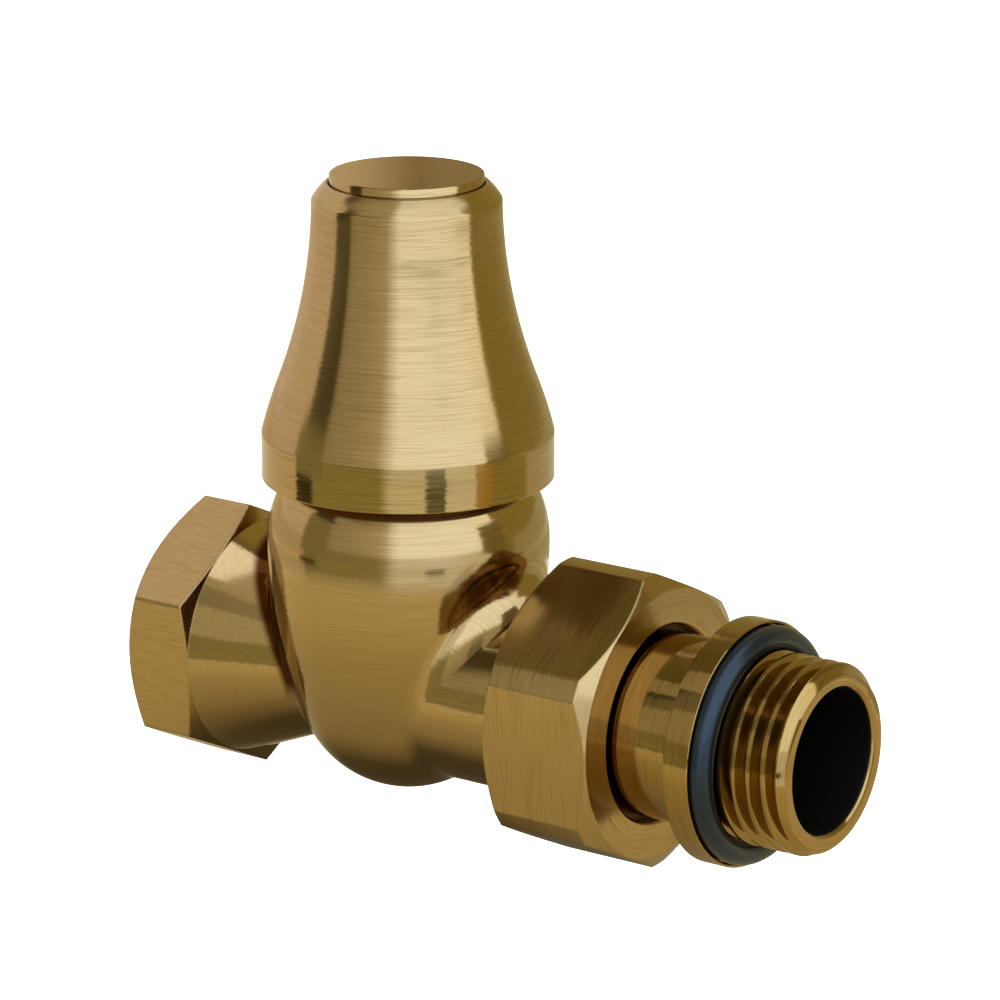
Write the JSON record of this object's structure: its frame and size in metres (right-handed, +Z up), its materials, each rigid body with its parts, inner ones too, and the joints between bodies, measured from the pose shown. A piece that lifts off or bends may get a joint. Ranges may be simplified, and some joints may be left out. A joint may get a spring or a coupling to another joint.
{
  "type": "manual radiator valve",
  "caption": "Straight manual radiator valve in antiqued brass with a bell-shaped handle, a hexagonal threaded inlet, and a union nut with a threaded tail and rubber sealing ring.",
  "frame": {"origin": "centre of the threaded inlet's mouth", "axes": "+X along the pipe from the inlet to the radiator tail, +Z up along the spindle to the handle"},
  "size_m": [0.0849, 0.0322, 0.0728],
  "materials": {
    "antique_brass": "brushed and bronzed",
    "plain_brass": "turned",
    "black_rubber": "smooth",
    "gasket_fibre": "matt",
    "white_plastic": "matt",
    "steel": "zinc plated"
  },
  "bodies": {
    "valve": {"valve_body": "antique_brass", "bonnet": "plain_brass", "bonnet_gasket": "gasket_fibre", "spindle_o_ring": "black_rubber", "gland_packing": "white_plastic", "gland_ring": "plain_brass", "gland_nut": "plain_brass"},
    "plug": {"jumper": "plain_brass", "seat_washer": "black_rubber", "washer_screw": "steel"},
    "handwheel": {"spindle": "plain_brass", "jumper_clip": "steel", "handle": "antique_brass", "handle_insert": "white_plastic", "handle_screw": "steel", "screw_washer": "steel", "top_disc": "antique_brass"},
    "tail": {"tailpiece": "antique_brass", "tail_o_ring": "black_rubber", "union_o_ring": "black_rubber", "nut_retaining_ring": "steel"},
    "nut": {"union_nut": "antique_brass"}
  },
  "joints": [
    {"name": "plug_lift", "type": "slide", "parent": "valve", "child": "plug", "axis": [0, 0, 1], "range_m": [0, 0.004]},
    {"name": "handle_turn", "type": "hinge", "parent": "plug", "child": "handwheel", "pos_m": [0.0294, 0, 0.03], "axis": [0, 0, 1], "range_deg": [0, 720]},
    {"name": "tail_draw", "type": "slide", "parent": "valve", "child": "tail", "axis": [1, 0, 0], "range_m": [0, 0.00726]},
    {"name": "nut_turn", "type": "hinge", "parent": "tail", "child": "nut", "pos_m": [0.06, 0, 0], "axis": [1, 0, 0], "range_deg": [0, 1440]}
  ],
  "couplings": [
    {"joint": "plug_lift", "follows": "handle_turn", "m_per_rad": 0.00031831},
    {"joint": "tail_draw", "follows": "nut_turn", "m_per_rad": 0.00028871}
  ]
}
